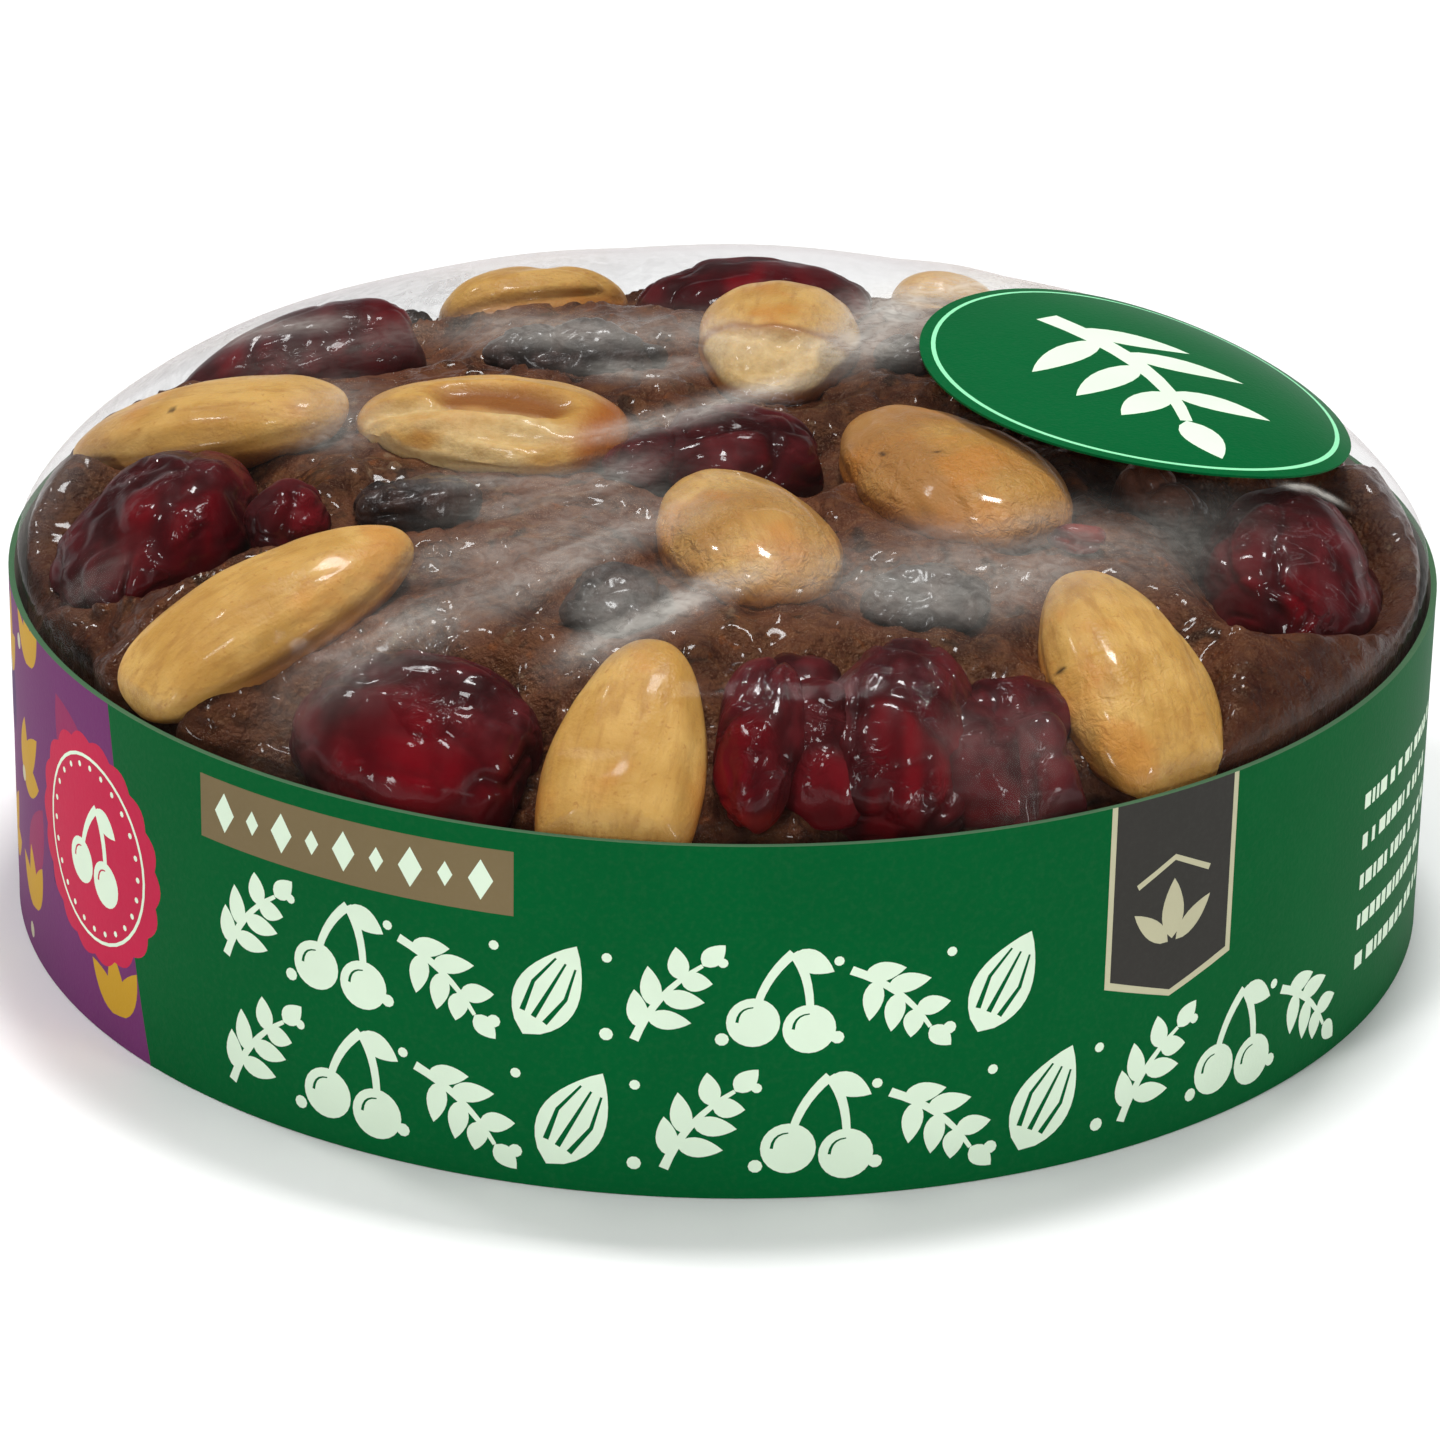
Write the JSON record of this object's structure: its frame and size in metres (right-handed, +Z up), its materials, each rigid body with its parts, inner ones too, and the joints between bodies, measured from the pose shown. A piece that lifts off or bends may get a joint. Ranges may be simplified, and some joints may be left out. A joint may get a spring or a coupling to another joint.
{
  "type": "fruit cake",
  "caption": "Small round fruit cake topped with almonds, glace cherries and raisins, in clear shrink film with a green card band and an oval sticker.",
  "frame": {"origin": "centre of the flat underside", "axes": "+Z up through the middle of the cake; the front of the band faces -Y and +X is to its right"},
  "size_m": [0.12, 0.12, 0.0433],
  "materials": {
    "cake": "dark, moist and sticky, with crumb",
    "almond": "blanched nut, satin with a light glaze",
    "cherry": "syrupy dark red glace fruit",
    "raisin": "dark wrinkled dried fruit",
    "film": "clear glossy shrink film with milky creases",
    "card": "printed coated card",
    "label": "glossy printed sticker"
  },
  "bodies": {
    "root": {"cake": "cake", "almond_1": "almond", "almond_2": "almond", "almond_3": "almond", "almond_4": "almond", "almond_5": "almond", "almond_6": "almond", "almond_7": "almond", "almond_8": "almond", "almond_9": "almond", "almond_10": "almond", "almond_11": "almond", "cherry_1": "cherry", "cherry_2": "cherry", "cherry_3": "cherry", "cherry_4": "cherry", "cherry_5": "cherry", "cherry_6": "cherry", "cherry_7": "cherry", "cherry_8": "cherry", "cherry_9": "cherry", "cherry_10": "cherry", "cherry_11": "cherry", "raisin_1": "raisin", "raisin_2": "raisin", "raisin_3": "raisin", "raisin_4": "raisin", "raisin_5": "raisin", "raisin_6": "raisin", "raisin_7": "raisin", "film": "film", "band": "card", "sticker": "label"}
  },
  "joints": []
}
